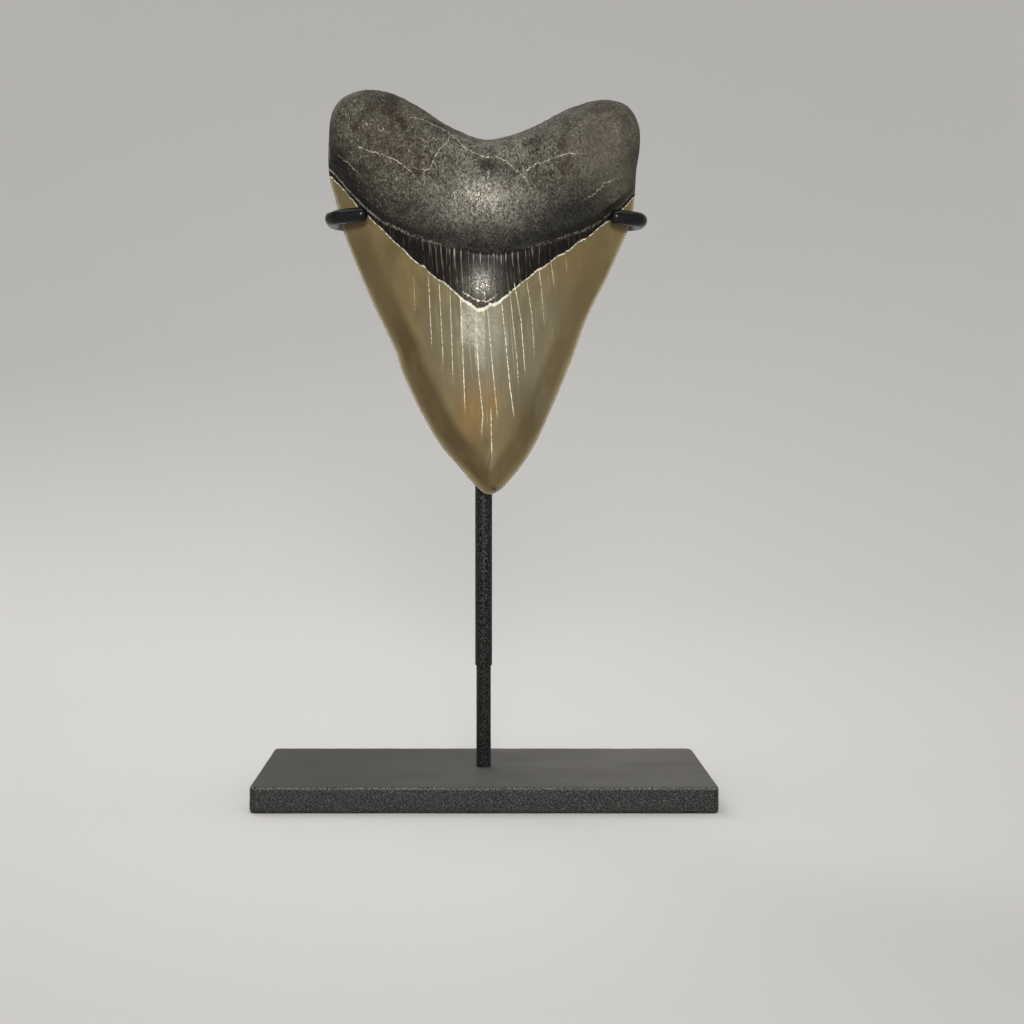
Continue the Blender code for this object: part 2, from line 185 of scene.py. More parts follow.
def screenColour(red, green, blue):
    # the shader's linear colour for 0 to 255 screen values
    shares = [v / 255 for v in (red, green, blue)]
    return tuple(v / 12.92 if v <= 0.04045 else ((v + 0.055) / 1.055) ** 2.4 for v in shares) + (1.0,)


class Board:
    # one material, its nodes and its named colours, which look gives as screen values
    def __init__(self, name, look=None):
        self.material = bpy.data.materials.new(name)
        self.material.use_nodes = True
        self.tree = self.material.node_tree
        self.tree.nodes.clear()
        self.colours = {key: screenColour(*value) for key, value in (look or {}).items()}
        metres = self.node("ShaderNodeTexCoord", output="Object")
        self.vector = self.node("ShaderNodeVectorMath", {"operation": "SCALE"}, {0: metres, "Scale": 1 / mm})

    def node(self, kind, settings=None, inputs=None, output=0):
        made = self.tree.nodes.new(kind)
        for key, value in (settings or {}).items():
            setattr(made, key, value)
        for key, value in (inputs or {}).items():
            if isinstance(value, Wire):
                self.tree.links.new(value.socket, made.inputs[key])
            else:
                made.inputs[key].default_value = value
        return Wire(self, made.outputs[output])

    def attribute(self, name, output="Fac"):
        return self.node("ShaderNodeAttribute", {"attribute_name": name}, output=output)

    def combine(self, x, y, z):
        return self.node("ShaderNodeCombineXYZ", None, {0: x, 1: y, 2: z})

    def split(self, vector):
        first = self.node("ShaderNodeSeparateXYZ", None, {0: vector})
        return [Wire(self, socket) for socket in first.socket.node.outputs]

    def noise(self, size, detail=2, rough=0.5, distortion=0, stretch=None, at=None):
        # noise with features of that size in mm, 0 to 1; stretch below 1 draws them out along an axis
        vector = at or self.vector
        if stretch:
            vector = self.node("ShaderNodeVectorMath", {"operation": "MULTIPLY"}, {0: vector, 1: stretch})
        return self.node("ShaderNodeTexNoise", None, {
            "Vector": vector, "Scale": 1 / size, "Detail": detail, "Roughness": rough, "Distortion": distortion})

    def bell(self, place, half):
        # exp(-(dx/halfX)^2 - (dz/halfZ)^2) about a place (x, z)
        shifted = self.node("ShaderNodeVectorMath", {"operation": "MULTIPLY_ADD"}, {
            0: self.vector, 1: (1 / half[0], 0, 1 / half[1]), 2: (-place[0] / half[0], 0, -place[1] / half[1])})
        square = self.node("ShaderNodeVectorMath", {"operation": "DOT_PRODUCT"}, {0: shifted, 1: shifted}, "Value")
        return (-square).exp()

    def mix(self, share, first, second):
        # colours, by name or from nodes: first at share 0, second at share 1
        return self.node("ShaderNodeMix", {"data_type": "RGBA"}, {
            0: share, 6: self.colours.get(first, first), 7: self.colours.get(second, second)}, output=2)

    def paint(self, base, *layers):
        # each layer's colour is laid over what is below it by its share
        for share, colour in layers:
            base = self.mix(share, base, colour)
        return base

    def finish(self, colour, roughness, relief=None, reliefMm=1.0, **fixed):
        inputs = {"Base Color": colour, "Roughness": roughness, **fixed}
        if relief is not None:
            inputs["Normal"] = self.node("ShaderNodeBump", None, {
                "Strength": 1.0, "Distance": reliefMm * mm, "Height": relief})
        shader = self.node("ShaderNodeBsdfPrincipled", None, inputs)
        out = self.tree.nodes.new("ShaderNodeOutputMaterial")
        self.tree.links.new(shader.socket, out.inputs[0])
        return self.material


def dress(piece, finish, node=None):
    # every piece rides on the one body; a named node gives way to it
    piece.data.materials.append(finish)
    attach(piece, "root")
    if node:
        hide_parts(node)


# camera, floor and lights

studio = {
    "eye": (-2.635, -620.5, 118.26),  # mm from the middle of the plate's underside
    "tilt": 2.02,  # degrees below level
    "lens": 63.7,
    "shiftX": 0.0352,
    "floorColour": (0.74, 0.73, 0.71), "floorShade": 0.985, "floorRoughness": 0.7,
    "middleRadius": 60, "sweepStart": 700, "sweepRadius": 1600, "wallHeight": 4000, "floorSides": 120,
    # place, target, size, power, spread in degrees
    "lights": {"keyLight": ((10, -900, 320), (0, -15, 170), 130, 0.31, 36),
               "topLight": ((-100, -150, 2600), (0, 0, 60), 2400, 35, 180),
               "rearLight": ((-450, 750, 900), (0, 0, 150), 450, 2.5, 180)},
    "skyColour": (1, 0.99, 0.98, 1), "skyPower": 0.12,
}


def makeCamera(look):
    data = bpy.data.cameras.new("camera")
    data.sensor_width = 36.0
    data.lens = look["lens"]
    data.shift_x = look["shiftX"]
    data.clip_start = 0.01
    camera = bpy.data.objects.new("camera", data)
    camera.location = [v * mm for v in look["eye"]]
    camera.rotation_euler = (math.radians(90 - look["tilt"]), 0, 0)
    bpy.context.collection.objects.link(camera)
    bpy.context.scene.camera = camera


def makeLight(name, place, target, size, power, spread):
    data = bpy.data.lights.new(name, "AREA")
    data.size, data.energy, data.spread = size * mm, power, math.radians(spread)
    light = bpy.data.objects.new(name, data)
    light.location = [v * mm for v in place]
    direction = Vector(target) - Vector(place)
    light.rotation_euler = direction.to_track_quat("-Z", "Y").to_euler()
    light.visible_camera = False
    bpy.context.collection.objects.link(light)


def makeFloor(look):
    # a round floor that sweeps up into a wall on every side: a quarter circle between them
    turn = np.radians(np.linspace(0, 90, 41))
    start, radius = look["sweepStart"], look["sweepRadius"]
    line = np.vstack([(look["middleRadius"], 0),
                      np.c_[start + radius * np.sin(turn), radius - radius * np.cos(turn)],
                      [(start + radius, look["wallHeight"])]])
    rings = turnedRings(line, look["floorSides"])
    faces = gridFaces(ringNumbers(*rings.shape[:2]), flip=True)
    floor = putMesh("floor", rings.reshape(-1, 3), faces + [list(range(look["floorSides"]))])
    board = Board("floor")
    shades = [(*(part * share for part in look["floorColour"]), 1.0) for share in (look["floorShade"], 1.0)]
    floor.data.materials.append(board.finish(board.mix(board.noise(400, 3), *shades), look["floorRoughness"]))


def makeStudio(look):
    makeCamera(look)
    makeFloor(look)
    for name, settings in look["lights"].items():
        makeLight(name, *settings)
    world = bpy.data.worlds.new("world")
    world.use_nodes = True
    sky = world.node_tree.nodes["Background"]
    sky.inputs["Color"].default_value = look["skyColour"]
    sky.inputs["Strength"].default_value = look["skyPower"]
    bpy.context.scene.world = world
    bpy.context.scene.view_settings.view_transform = "Standard"


makeStudio(studio)
print("studio ready")


# the tooth's shape, mm, seen from the front

toothShape = {
    # rim, clockwise from the left shoulder
    "leftSide": [(-49.3, 200), (-51.5, 207), (-52.2, 213), (-51.9, 221), (-51.3, 228)],
    "leftCorner": (-49.6, 232.4),
    "rootTop": [(-46, 235.8), (-39, 237.8), (-30.5, 236.5), (-21, 231.7), (-12, 225.8),
                (-1, 221.3), (8, 222.3), (17.5, 225.9), (27, 230.9), (37.5, 234.3), (45, 233.8)],
    "rightCorner": (49.2, 231.1),
    "rightSide": [(51.9, 225.5), (52.2, 218.5), (51.2, 211), (50.9, 203)],
    "rightEdge": [(49.9, 196), (47.6, 189.5), (41.6, 176.1), (35, 162.7), (29, 146.5),
                  (22.2, 130.3), (15.6, 116.7), (8.2, 106.8), (4.2, 103.3)],
    "tip": (1.6, 102.6),
    "leftEdge": [(-1.4, 104.2), (-7.7, 111.3), (-14.6, 119.4), (-21, 130.3), (-27.4, 143.8),
                 (-30.1, 151.9), (-37.8, 168), (-44.6, 184.2), (-47.6, 192.5)],
    # lines across the faces
    "enamelFront": [(-52, 210.6), (-46.3, 204), (-40, 196.8), (-28, 185.1), (-20, 178.2),
                    (-13, 172.7), (-5.5, 165.9), (-0.6, 163.4), (5, 166.6), (16.4, 176.1),
                    (31.4, 186.6), (42.1, 194.1), (51, 203.4)],
    "enamelBack": [(-52, 210.6), (-44, 204.5), (-24, 194), (0, 189.5), (24, 193),
                   (42, 199), (51, 203.4)],
    "rootFront": [(-52, 212), (-46, 205.6), (-40, 198.9), (-33, 192.8), (-18, 186),
                  (-4, 182.9), (7.5, 182.5), (20.8, 186), (36, 191.6), (46, 199.4), (51, 205)],
    "backLedge": 1.4,
    # thickness
    "edgeY": -6.3, "rootRimY": -9.7,
    "crownDome": 0.40, "crownBack": 0.05,
    "rootBody": 10.5,
    "rootBulge": 13.5, "bulgeCentre": (0.4, 201), "bulgeHalf": 28, "bulgeHalfAbove": 24,
    "rootBack": 2.9, "rootBackTop": 3.3,  # behind the rim, and more above the shoulders
    "enamelStep": 0.45, "lipHeight": 2.8,
    "frontRound": 9, "backRound": 6.5,
    # humps: middle (x, z), half width, half height, height
    "leftLobe": ((-34, 221), 13, 11, 1.6), "rightLobe": ((36, 218), 13, 11, 1.6),
    "collarSwell": ((-0.6, 167.5), 9, 7, 2.1),
    "pit": ((1.4, 210), 3.4, 2.8, 0.8), "backHollow": ((0, 208), 13, 9, 0.7),
    # ridges across a line: middle, half width, height
    "middleLip": (0, 15, 7), "crease": (-0.5, 0.8, 0.2), "lipBead": (0.1, 0.45, 0.22),
    "enamelBead": (0.45, 0.4, 0.10),
    # how each line strays: distance, size, seed, layers
    "strays": {"enamelFront": (0.42, 2.2, 31, 3), "enamelBack": (0.42, 3, 47, 3), "rootFront": (0.35, 5, 53, 2)},
    # heights of the fine relief
    "rootLumps": 0.28, "backLumps": 0.16, "crownRipple": 0.07, "backRipple": 0.06, "collarRidges": 0.06,
    "serrationPitch": 0.95, "serrationHeight": 0.85,
    "edgeBand": 1.7, "edgeHollow": 0.16,  # width and depth of the flatter band along the cutting edges
    # mesh
    "columns": 256, "rootRows": 76, "collarRows": 34, "crownRows": 74, "rimSteps": 8, "walkSteps": 600,
}


def closedSpline(points, steps):
    # Catmull-Rom curve through a closed list of points
    p = np.array(points)
    a, b, c, d = (np.roll(p, shift, 0)[:, None, :] for shift in (1, 0, -1, -2))
    t = np.linspace(0, 1, steps, endpoint=False)[None, :, None]
    curve = 0.5 * (2 * b + (c - a) * t + (2 * a - 5 * b + 4 * c - d) * t ** 2
                   + (3 * b - a - 3 * c + d) * t ** 3)
    return curve.reshape(-1, 2)


splineSteps = 24
ts = toothShape
outline = (ts["leftSide"] + [ts["leftCorner"]] + ts["rootTop"] + [ts["rightCorner"]] + ts["rightSide"]
           + ts["rightEdge"] + [ts["tip"]] + ts["leftEdge"])
rim = closedSpline(outline, splineSteps)
leftShoulder, rightShoulder = ts["leftSide"][0], ts["rightEdge"][0]


def rimIndex(point):
    return outline.index(point) * splineSteps


def rimStretch(start, end, shares):
    # rim points between two outline points at shares of the arc length
    first, last = rimIndex(start), rimIndex(end)
    if last <= first:
        last += len(rim)
    line = rim[np.arange(first, last + 1) % len(rim)]
    length = runningLength(line)
    return pointsAt(line, length, shares * length[-1])


def lineHeight(name, x):
    # height of a line across the face, corners softened by averaging, with its small chips and bays
    xs, zs = np.array(ts[name]).T
    soft = sum(np.interp(x + shift, xs, zs) for shift in (-1.2, -0.6, 0.0, 0.6, 1.2)) / 5
    distance, size, seed, layers = ts["strays"][name]
    return soft + distance * layeredNoise(x, 0, 0, size, seed, layers)


def enamelMargin(x): return lineHeight("enamelFront", x)
def enamelMarginBack(x): return lineHeight("enamelBack", x)
def rootMargin(x): return lineHeight("rootFront", x)
def rootMarginBack(x): return enamelMarginBack(x) + ts["backLedge"]


def section(x, z):
    # half width at height z, and 1 - t^2 for t from -1 to 1 across it
    right = rim[rimIndex(ts["rightCorner"]):rimIndex(ts["tip"]) + 1]
    left = np.vstack([rim[rimIndex(ts["tip"]):], rim[:rimIndex(ts["leftCorner"]) + 1]])
    rightX = np.interp(z, right[::-1, 1], right[::-1, 0])
    leftX = np.interp(z, left[:, 1], left[:, 0])
    half = np.maximum((rightX - leftX) / 2, 1e-6)
    return half, 1 - np.clip((x - (rightX + leftX) / 2) / half, -1, 1) ** 2


def rimDistance(x, z, block=8000):
    # least distance to the rim's points, in blocks to spare memory
    flatX, flatZ = x.ravel(), z.ravel()
    result = np.empty(len(flatX))
    for start in range(0, len(flatX), block):
        cut = slice(start, start + block)
        gaps = (flatX[cut, None] - rim[:, 0]) ** 2 + (flatZ[cut, None] - rim[:, 1]) ** 2
        result[cut] = np.sqrt(gaps.min(axis=1))
    return result.reshape(x.shape)


def roundOver(distance, radius):
    # quarter circle from 0 at the rim to 1 at one radius inside it
    t = np.clip(distance / radius, 0, 1)
    return np.sqrt(1 - (1 - t) ** 2)


def aboveShoulders(z):
    return smoothStep(203, 226, z)


def rimPlane(z):
    return ts["edgeY"] + (ts["rootRimY"] - ts["edgeY"]) * aboveShoulders(z)


def dome(middle):
    # across the crown: mostly a parabola, a little steeper towards its middle
    return 0.72 * middle + 0.28 * middle ** 2


def frontDepth(x, z, distance):
    # domed crown and swollen collar below the root line, thick two-lobed root above it, joined by a rolled lip
    half, middle = section(x, z)
    inside = smoothStep(0, 0.15, middle)
    belowEnamel = enamelMargin(x) - z
    aboveRoot = z - rootMargin(x)
    collar = smoothStep(0.0, -0.6, belowEnamel) * smoothStep(0.0, -1.0, aboveRoot)
    crown = hump(x, z, *ts["collarSwell"]) - ridge(aboveRoot, *ts["crease"])
    crown += ts["enamelStep"] * smoothStep(-0.25, 0.15, belowEnamel) + ridge(belowEnamel, *ts["enamelBead"])
    crown += ts["collarRidges"] * collar * (2 * latticeNoise(x, z / 12, 0, 0.9, 5) - 1)
    crown += ts["crownRipple"] * layeredNoise(x, z / 5, 0, 4.0, 71, 2)
    crown += ridge(aboveRoot, *ts["lipBead"]) * (0.5 + latticeNoise(x, z, 0, 1.1, 83))
    crown = ts["crownDome"] * half * dome(middle) + crown * inside
    band = ts["edgeBand"]
    crown -= ts["edgeHollow"] * np.clip(distance / band, 0, 1) * smoothStep(3.2 * band, band, distance)
    centre, below = ts["bulgeCentre"], ts["bulgeHalf"]
    bulgeHalf = np.where(z < centre[1], below, ts["bulgeHalfAbove"])
    root = ts["rootBody"] + hump(x, z, centre, below, bulgeHalf, ts["rootBulge"]) - hump(x, z, *ts["pit"])
    root += hump(x, z, *ts["leftLobe"]) + hump(x, z, *ts["rightLobe"])
    root += ts["rootLumps"] * layeredNoise(x, z, 0, 9.0, 11, 4)
    root *= roundOver(distance, ts["frontRound"])
    reach = ts["lipHeight"] + ridge(x, *ts["middleLip"])  # flush with the collar at the middle
    share = smoothStep(0, 1, aboveRoot / reach)
    return rimPlane(z) - (crown * (1 - share) + root * share)


def backDepth(x, z, distance):
    # nearly flat, the enamel a little proud of a faintly hollowed root
    half, middle = section(x, z)
    crown = ts["enamelStep"] + ts["backRipple"] * layeredNoise(x, z / 5, 0, 4.0, 73, 2)
    crown = ts["crownBack"] * half * dome(middle) + crown * smoothStep(0, 0.15, middle)
    root = ts["rootBack"] + ts["rootBackTop"] * aboveShoulders(z) - hump(x, z, *ts["backHollow"])
    root += ts["backLumps"] * layeredNoise(x, z, 0, 8.0, 17, 4)
    root *= roundOver(distance, ts["backRound"])
    share = smoothStep(0, ts["backLedge"], z - enamelMarginBack(x))
    return rimPlane(z) + crown * (1 - share) + root * share


def faceGrid(rootLine, enamelLine):
    # Coons patch over the outline; each column is walked again so that both lines fall on fixed rows
    u = ease(ts["columns"] + 1)
    v = np.linspace(0, 1, ts["walkSteps"] + 1)
    top = rimStretch(ts["leftCorner"], ts["rightCorner"], u)
    halfShares = np.linspace(0, 1, ts["columns"] // 2 + 1)
    crowded = halfShares - 0.6 * np.sin(2 * math.pi * halfShares) / (2 * math.pi)
    leftHalf = rimStretch(ts["tip"], leftShoulder, 1 - crowded)
    rightHalf = rimStretch(rightShoulder, ts["tip"], 1 - crowded)
    bottom = np.vstack([leftHalf, rightHalf[1:]])
    left = rimStretch(leftShoulder, ts["leftCorner"], v)[::-1]
    right = rimStretch(ts["rightCorner"], rightShoulder, v)
    uu, vv = u[None, :, None], v[:, None, None]
    patch = ((1 - vv) * top[None] + vv * bottom[None] + (1 - uu) * left[:, None] + uu * right[:, None]
             - (1 - uu) * (1 - vv) * top[0] - uu * (1 - vv) * top[-1]
             - (1 - uu) * vv * bottom[0] - uu * vv * bottom[-1])
    crownShares = np.linspace(0, 1, ts["crownRows"] + 1)
    crownShares = 0.25 * crownShares ** 2.2 + 0.75 * crownShares  # closer together under the enamel's margin
    rows = np.r_[ease(ts["rootRows"] + 1, 0.8), 1 + ease(ts["collarRows"] + 1, 0.75)[1:], 2 + crownShares[1:]]
    grid = np.empty((len(rows), ts["columns"] + 1, 2))
    for column in range(ts["columns"] + 1):
        x, z = patch[:, column].T
        rootMeet = np.interp(0.0, rootLine(x) - z, v)
        enamelMeet = max(np.interp(0.0, enamelLine(x) - z, v), rootMeet + 0.004)
        walk = np.interp(rows, [0, 1, 2, 3], [0, rootMeet, enamelMeet, 1])
        grid[:, column, 0] = np.interp(walk, v, x)
        grid[:, column, 1] = np.interp(walk, v, z)
    return grid, bottom


# cracks as lines of (x, z), each with its strength and half width in mm; neighbours lie in different lists
toothCracks = {
    "cracksOdd": [
        ([(-23.3, 176), (-22.9, 161.2)], 0.35, 0.10),
        ([(-14.8, 173), (-13.4, 143.8)], 0.75, 0.12),
        ([(-7.8, 168.6), (-6.9, 148), (-6.2, 129)], 0.95, 0.15),
        ([(1.1, 165), (3, 143.7), (4.8, 126.5)], 0.85, 0.13),
        ([(5.6, 168), (6.9, 156.5), (8.7, 138.7), (10.3, 127.2)], 1, 0.15),
        ([(9.9, 173), (12.3, 160.8), (13.9, 141.7)], 0.95, 0.14),
        ([(18.1, 177.8), (19.1, 170.9), (20.3, 157.5)], 0.65, 0.12),
        ([(27.1, 182), (27.8, 175.6)], 0.30, 0.10),
        ([(-42, 217.6), (-37.2, 215.7), (-32.8, 214.4), (-28.4, 212.4), (-25.4, 209.8), (-23.6, 208.6),
          (-22.4, 206)], 0.85, 0.16),
        ([(-17, 209.7), (-19, 209.2), (-21.2, 209.3), (-24.6, 210.6)], 0.9, 0.15),
        ([(-24.7, 226.9), (-20.3, 226.1), (-15.9, 224.2), (-12.2, 222.3), (-10.8, 221), (-8.6, 218.8),
          (-6.4, 215.9), (-2.7, 213.9), (0.9, 212.5), (4.1, 212.9), (6.7, 211.7), (9.6, 209.3),
          (12.5, 206.9), (15.1, 203.5), (16.9, 200.7)], 0.70, 0.14),
        ([(-48.9, 215.5), (-45.5, 212.9), (-43.3, 210.7), (-39.5, 206.6)], 0.45, 0.13),
        ([(32.6, 200), (35.6, 201.2), (37.8, 203.5), (40, 205.7), (43, 206.8), (44.9, 208.7)], 0.55, 0.14),
        ([(-7.2, 169.9), (-5.3, 168.4), (-3.6, 167.3), (-2, 166.8), (1, 166.4), (2.6, 167.4), (4, 168.6),
          (5.6, 169.6)], 1, 0.22),
    ],
    "cracksEven": [
        ([(-18.4, 175.6), (-17.3, 150.3)], 0.8, 0.12),
        ([(-11.2, 170), (-10.2, 138.7)], 0.75, 0.12),
        ([(-2.9, 165), (-1.7, 142.3), (-0.3, 129.1), (-1, 120.8)], 0.85, 0.15),
        ([(2.3, 132.2), (2.7, 116.3), (2.2, 113)], 0.95, 0.15),
        ([(8.3, 171), (10.9, 149.4), (11.7, 136.6)], 0.75, 0.11),
        ([(14, 174.4), (15.9, 162.3), (17, 147.4)], 0.70, 0.12),
        ([(22, 180.9), (23.9, 169)], 0.55, 0.11),
        ([(-10.8, 221), (-12.2, 217.5), (-14.4, 215.8), (-16.2, 212.6), (-17.3, 210.1), (-19.9, 208.8),
          (-19.4, 206.7), (-19.9, 201.6)], 0.65, 0.14),
        ([(12.5, 206.9), (15.1, 209.6), (16.9, 210.8), (20.6, 212.1), (24.3, 213.7), (27.2, 214.8),
          (30.2, 214.5), (36.1, 215)], 0.70, 0.15),
        ([(9.3, 217.8), (13.3, 219.5), (17, 221.1)], 0.35, 0.12),
        ([(0.2, 170.2), (0.3, 165.3)], 0.9, 0.12),
        ([(1.4, 209), (1.2, 204.5)], 0.8, 0.16),
    ],
}


def crackField(x, z, cracks, reach=1.3):
    # for the nearest crack: signed distance, strength fading out at both ends and beyond reach, half width
    far = np.full(len(x), 9.0)  # beyond every crack's reach
    signed, strength, width = far, np.zeros(len(x)), np.zeros(len(x))
    for knots, full, half in cracks:
        p = np.array(knots)
        lengths = runningLength(p)
        best, along = far, np.zeros(len(x))
        for k in range(len(p) - 1):
            run = p[k + 1] - p[k]
            size = np.hypot(*run)
            share = np.clip(((x - p[k, 0]) * run[0] + (z - p[k, 1]) * run[1]) / size ** 2, 0, 1)
            gapX, gapZ = x - p[k, 0] - share * run[0], z - p[k, 1] - share * run[1]
            side = np.where(gapX * run[1] - gapZ * run[0] >= 0, 1.0, -1.0)
            gap = np.hypot(gapX, gapZ)
            nearer = gap < np.abs(best)
            best = np.where(nearer, side * gap, best)
            along = np.where(nearer, lengths[k] + share * size, along)
        fade = smoothStep(0, 1.5, along) * smoothStep(0, min(6.0, lengths[-1] / 2), lengths[-1] - along)
        fade = fade * smoothStep(reach, 0.75 * reach, np.abs(best)) * full
        nearer = np.abs(best) < np.abs(signed)
        signed = np.where(nearer, best, signed)
        strength, width = np.where(nearer, fade, strength), np.where(nearer, half, width)
    return np.c_[np.clip(signed, -3, 3), strength, width]


def serratedEdge(bottom):
    # rim points at rimSteps to a column, pushed out by a rounded saw wave along the arc length
    last = len(bottom) - 1
    line = pointsAt(bottom, np.arange(last + 1), np.linspace(0, last, last * ts["rimSteps"] + 1))
    along = runningLength(line)
    tangent = unit(np.gradient(line, along, axis=0))
    outward = np.c_[tangent[:, 1], -tangent[:, 0]]
    phase = along / ts["serrationPitch"] + 0.35 * latticeNoise(along, 0, 0, 2.3, 3)
    wave = np.abs(np.sin(math.pi * phase)) ** 0.8
    worn = 0.55 + 0.45 * latticeNoise(along, 0, 0, 3.1, 9)
    tipFade = smoothStep(1.5, 6.0, np.linalg.norm(line - ts["tip"], axis=1))
    endFade = smoothStep(0, 6, along) * smoothStep(0, 6, along[-1] - along)
    push = ts["serrationHeight"] * (wave - 0.6) * worn * tipFade * endFade
    return line + outward * push[:, None]


def makeTooth():
    # front and back grids share the rim's points; fans join their last rows to the finer serrated edge
    front, bottom = faceGrid(rootMargin, enamelMargin)
    back, _ = faceGrid(rootMarginBack, enamelMarginBack)
    rows, columns = front.shape[:2]
    inner = np.zeros((rows, columns), bool)
    inner[1:-1, 1:-1] = True
    frontX, frontZ = front[..., 0], front[..., 1]
    backX, backZ = back[..., 0], back[..., 1]
    frontGap, backGap = rimDistance(frontX, frontZ) * inner, rimDistance(backX, backZ)
    frontY = np.where(inner, frontDepth(frontX, frontZ, frontGap), rimPlane(frontZ))
    backY = backDepth(backX, backZ, backGap)
    edge = serratedEdge(bottom)

    number = np.arange(rows * columns).reshape(rows, columns)
    backNumber = number.copy()
    backNumber[inner] = rows * columns + np.arange(inner.sum())
    edgeNumber = rows * columns + inner.sum() + np.arange(len(edge))
    edgeNumber[0], edgeNumber[-1] = number[-1, 0], number[-1, -1]
    offRim = np.r_[inner.ravel(), np.ones(inner.sum(), bool), np.zeros(len(edge), bool)]
    faces = gridFaces(number[:-1]) + gridFaces(backNumber[:-1], flip=True)
    steps, cell = ts["rimSteps"], np.arange(columns - 1)
    for last, flip in ((number[-2], False), (backNumber[-2], True)):
        fans = [np.stack([last[cell], edgeNumber[cell * steps + steps // 2], last[cell + 1]], 1)]
        for k in range(steps):
            hub = last[cell] if k < steps // 2 else last[cell + 1]
            fans.append(np.stack([hub, edgeNumber[cell * steps + k], edgeNumber[cell * steps + k + 1]], 1))
        fan = np.vstack(fans)
        fan = fan[offRim[fan].any(axis=1)]  # three rim points would make a face without thickness
        faces += (fan[:, ::-1] if flip else fan).tolist()

    points = np.vstack([
        np.c_[frontX.ravel(), frontY.ravel(), frontZ.ravel()],
        np.c_[backX[inner], backY[inner], backZ[inner]],
        np.c_[edge[:, 0], rimPlane(edge[:, 1]), edge[:, 1]],
    ])

    def field(frontValues, backValues, edgeValue):
        return np.r_[frontValues.ravel(), backValues[inner], np.full(len(edge), float(edgeValue))]

    slant = 0.77  # cosine of the enamel line's slope, to turn heights into distances
    fields = {
        "crownMm": field((enamelMargin(frontX) - frontZ) * slant, enamelMarginBack(backX) - backZ, 20),
        "rootMm": field(frontZ - rootMargin(frontX), backZ - rootMarginBack(backX), -20),
        "edgeMm": field(frontGap, backGap, 0),
        "depthMm": field(frontY - rimPlane(frontZ), backY - rimPlane(backZ), 0),
    }
    for key, cracks in toothCracks.items():
        fields[key] = crackField(points[:, 0], points[:, 2], cracks)
        fields[key][rows * columns:, 1] = 0  # no cracks on the back
    used = np.unique(np.concatenate([np.array(face) for face in faces]))
    renumber = np.zeros(len(points), int)
    renumber[used] = np.arange(len(used))
    faces = [renumber[face].tolist() for face in faces]
    return putMesh("fossilTooth", points[used], faces, 70, {key: values[used] for key, values in fields.items()})


tooth = makeTooth()
print("tooth shaped:", len(tooth.data.polygons), "faces")


# the tooth's surface, colours as screen values

toothFinish = {
    "rootDark": (26, 26, 21), "rootRed": (35, 25, 20), "rootPale": (100, 95, 81), "rootWarm": (74, 66, 46),
    "rootLowShade": (8, 8, 7), "polishAndHighlight": (156, 152, 140), "fleckAndHighlight": (174, 169, 153), "pitDark": (14, 13, 11),
    "collar": (10, 7, 5), "collarBrown": (34, 23, 18), "collarThread": (118, 111, 95),
    "olive": (94, 82, 50), "tan": (118, 103, 68), "grey": (106, 101, 84), "chalkAndHighlight": (152, 149, 135),
    "amber": (124, 94, 45), "darkOliveAndShade": (68, 54, 26), "ridge": (134, 124, 96), "edgePaleAndHighlight": (150, 140, 124),
    "margin": (212, 208, 190), "crack": (232, 222, 194), "rootCrack": (206, 200, 180),
}
# on the enamel's front: middle (x, z), half sizes, colour, share
enamelPatches = [
    ((1, 152), (13, 24), "grey", 0.9),
    ((14, 152), (9, 20), "grey", 0.6),
    ((-14, 158), (7, 14), "grey", 0.45),
    ((16, 137), (5, 12), "grey", 0.35),
    ((1, 124), (7, 14), "tan", 0.7),
    ((-4.6, 130), (4.2, 8.5), "amber", 0.8),
    ((2.7, 133), (2.4, 6), "amber", 0.6),
    ((26, 177), (7, 8), "amber", 0.25),
    ((-18, 133), (5, 9), "darkOliveAndShade", 0.35),
    ((0.9, 120.2), (0.9, 1.8), "darkOliveAndShade", 0.5),
    ((3, 110), (1.4, 8), "ridge", 1),
    ((15, 146), (6, 9), "grey", 0.4),
    ((-28, 174), (9, 16), "darkOliveAndShade", 0.25),
    ((24, 166), (7, 14), "grey", 0.4),
    ((31, 176), (9, 15), "darkOliveAndShade", 0.35),
    ((-41, 182), (7, 12), "darkOliveAndShade", 0.6),
    ((36, 190), (9, 8), "darkOliveAndShade", 0.3),
    ((1.5, 118), (8, 9), "darkOliveAndShade", 0.2),
    ((-3, 118), (6, 6), "darkOliveAndShade", 0.2),
    ((12, 160), (4, 12), "darkOliveAndShade", 0.2),
]
# where the root's painted shade towards its lower lip is spared: middle, half sizes, share
unshadedSpots = [((0, 197), (12, 8), 0.35), ((-27, 202), (9, 9), 0.45), ((46, 208), (9, 10), 0.75)]


